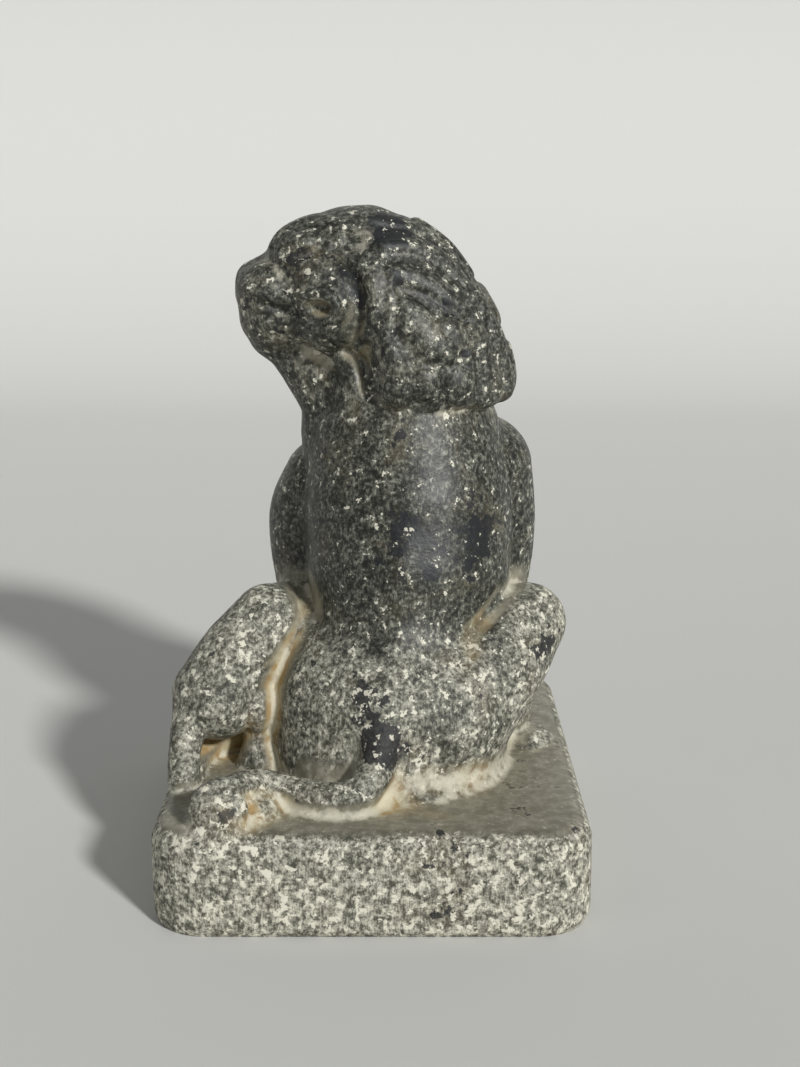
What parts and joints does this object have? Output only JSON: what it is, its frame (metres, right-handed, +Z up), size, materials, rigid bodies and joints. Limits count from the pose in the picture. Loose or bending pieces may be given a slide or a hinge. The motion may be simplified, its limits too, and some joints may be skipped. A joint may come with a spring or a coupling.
{
  "type": "seated stone lion figure",
  "caption": "Seated guardian lion with its head turned back over its shoulder and its tail curled, carved from one block of stone with a low plinth.",
  "frame": {"origin": "middle of the plinth's underside", "axes": "+Z up, +Y the way the lion's chest faces, -X the way its turned head faces"},
  "size_m": [0.13, 0.16, 0.2056],
  "materials": {
    "stone": "hand-carved, semi-polished on the figure, pecked and worn on the plinth"
  },
  "bodies": {
    "root": {"seated_lion_on_plinth": "stone"}
  },
  "joints": []
}
